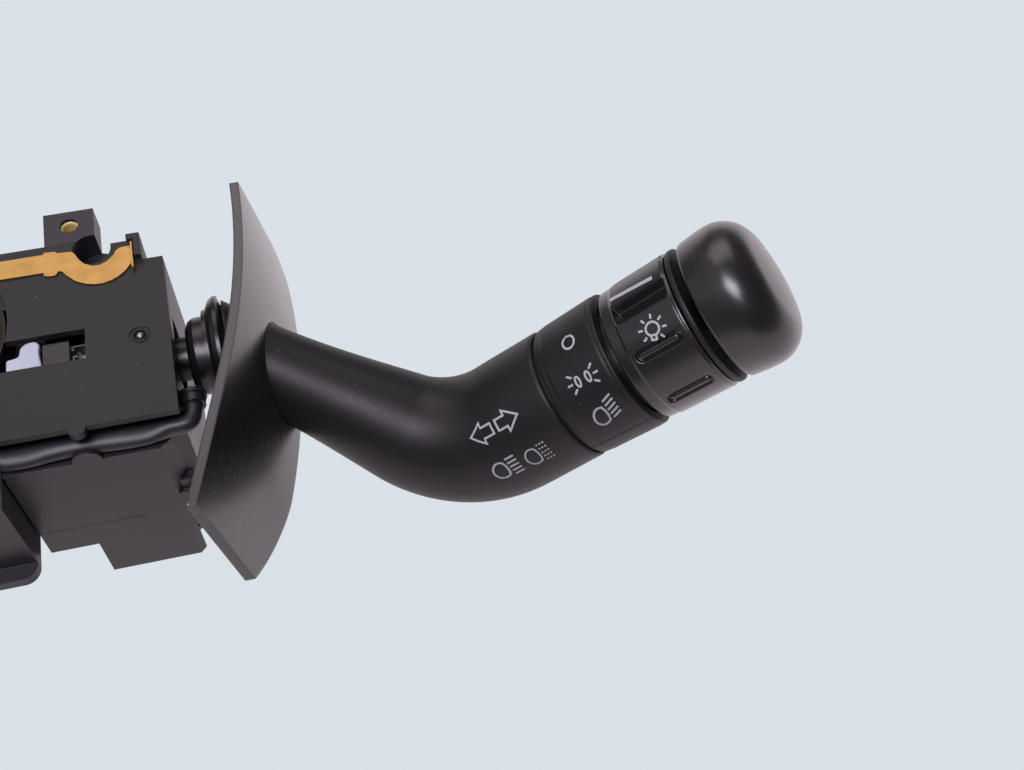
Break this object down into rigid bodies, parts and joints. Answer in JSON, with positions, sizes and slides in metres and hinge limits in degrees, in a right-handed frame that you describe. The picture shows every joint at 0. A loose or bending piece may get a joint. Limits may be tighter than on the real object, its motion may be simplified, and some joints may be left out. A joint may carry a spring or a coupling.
{
  "type": "combination stalk switch",
  "caption": "Steering column light and turn stalk: clamped switch housing with cancelling cam, gimballed bent stalk, shield plate, rotary light knob and push end cap.",
  "frame": {"origin": "on the column's axis, 20 mm under the top of the hub's sleeve and 24 mm over its foot", "axes": "+Z along the column's axis towards the driver, +X from the column along the stalk, +Y across, to the shield's top"},
  "size_m": [0.2374, 0.1015, 0.0954],
  "materials": {
    "housing_plastic": "fine matt moulding, dark grey",
    "cover_plastic": "matt, near black",
    "shell_plastic": "matt, dark grey",
    "spring_bronze": "bright rolled copper alloy",
    "insert_brass": "turned brass",
    "pin_steel": "turned steel",
    "screw_steel": "zinc-plated steel",
    "band_steel": "zinc-plated strip",
    "terminal_tin": "tinned copper alloy",
    "sheath_rubber": "glossy black sheath",
    "gland_plastic": "satin black",
    "slide_plastic": "natural white acetal",
    "cam_plastic": "black acetal",
    "contact_brass": "plain contact alloy",
    "spring_steel": "spring steel",
    "lever_plastic": "satin black, glass-filled",
    "stalk_plastic": "satin black, fine grain",
    "spacer_plastic": "matt black",
    "shield_plastic": "satin black sheet",
    "knob_plastic": "satin black, fine grain",
    "rotor_plastic": "natural phenolic"
  },
  "bodies": {
    "base": {"housing": "housing_plastic", "cover_plate": "cover_plastic", "horn_contact_strip": "spring_bronze", "threaded_insert": "insert_brass", "pivot_pin": "pin_steel", "lower_shell": "shell_plastic", "shell_screws": "screw_steel", "connector_socket": "shell_plastic", "socket_terminals": "terminal_tin", "cable_sheath": "sheath_rubber", "sheath_gland": "gland_plastic", "clamp_band": "band_steel", "clamp_screw": "screw_steel", "detent_spring": "spring_steel", "pawl_spring": "spring_steel", "contact_plate": "shell_plastic", "fixed_contacts": "contact_brass"},
    "carrier": {"lever_carrier": "lever_plastic", "beam_pivot_pin": "pin_steel"},
    "lever": {"lever_core": "lever_plastic", "lever_collar": "lever_plastic", "collar_fin": "lever_plastic", "shield_hub": "lever_plastic", "stalk_front_shell": "stalk_plastic", "stalk_rear_shell": "stalk_plastic", "stalk_screws": "screw_steel", "shield_plate": "shield_plastic", "spacer_ring": "spacer_plastic", "marking_ring": "stalk_plastic", "knob_spindle": "spacer_plastic", "light_stator": "rotor_plastic", "end_collar": "stalk_plastic", "cap_guide": "spacer_plastic", "cap_spring": "spring_steel", "cap_contact": "contact_brass", "knob_detent_spring": "spring_steel"},
    "knob": {"light_knob": "knob_plastic", "light_rotor": "rotor_plastic"},
    "cap": {"end_cap": "knob_plastic", "cap_stem": "spacer_plastic"},
    "cam": {"cancel_cam": "cam_plastic", "slip_ring": "contact_brass"},
    "pawl": {"cancel_pawl": "slide_plastic", "pawl_slider": "slide_plastic"},
    "turn_slider": {"turn_slider": "slide_plastic", "turn_contacts": "contact_brass"},
    "beam_slider": {"beam_slider": "slide_plastic", "beam_contact": "contact_brass"}
  },
  "joints": [
    {"name": "turn_hinge", "type": "hinge", "parent": "base", "child": "carrier", "pos_m": [0.055, -0.011, 0.0115], "axis": [0, 0, 1], "range_deg": [-10, 10], "deforming": ["detent_spring"]},
    {"name": "beam_hinge", "type": "hinge", "parent": "carrier", "child": "lever", "pos_m": [0.055, -0.011, 0.0115], "axis": [0, 1, 0], "range_deg": [-5, 5]},
    {"name": "knob_turn", "type": "hinge", "parent": "lever", "child": "knob", "pos_m": [0.15201, -0.0414, 0.01272], "axis": [0.8131, 0, 0.5821], "range_deg": [0, 68], "deforming": ["knob_detent_spring"]},
    {"name": "cap_push", "type": "slide", "parent": "lever", "child": "cap", "axis": [-0.8131, 0, -0.5821], "range_m": [0, 0.0015], "stiffness_N_per_m": 1500, "springref_m": -0.002, "deforming": ["cap_spring"]},
    {"name": "cam_turn", "type": "hinge", "parent": "base", "child": "cam", "pos_m": [0, 0, 0], "axis": [0, 0, 1], "continuous": true},
    {"name": "pawl_slide", "type": "slide", "parent": "base", "child": "pawl", "axis": [-1, 0, 0], "range_m": [0, 0.0022], "stiffness_N_per_m": 300, "springref_m": -0.001, "deforming": ["pawl_spring"]},
    {"name": "turn_slide", "type": "slide", "parent": "base", "child": "turn_slider", "axis": [0, 1, 0], "range_m": [-0.0021, 0.0021]},
    {"name": "beam_slide", "type": "slide", "parent": "carrier", "child": "beam_slider", "axis": [0, 0, 1], "range_m": [-0.0013, 0.0013]}
  ],
  "couplings": [
    {"joint": "turn_slide", "follows": "turn_hinge", "m_per_rad": -0.012},
    {"joint": "beam_slide", "follows": "beam_hinge", "m_per_rad": 0.0144}
  ]
}
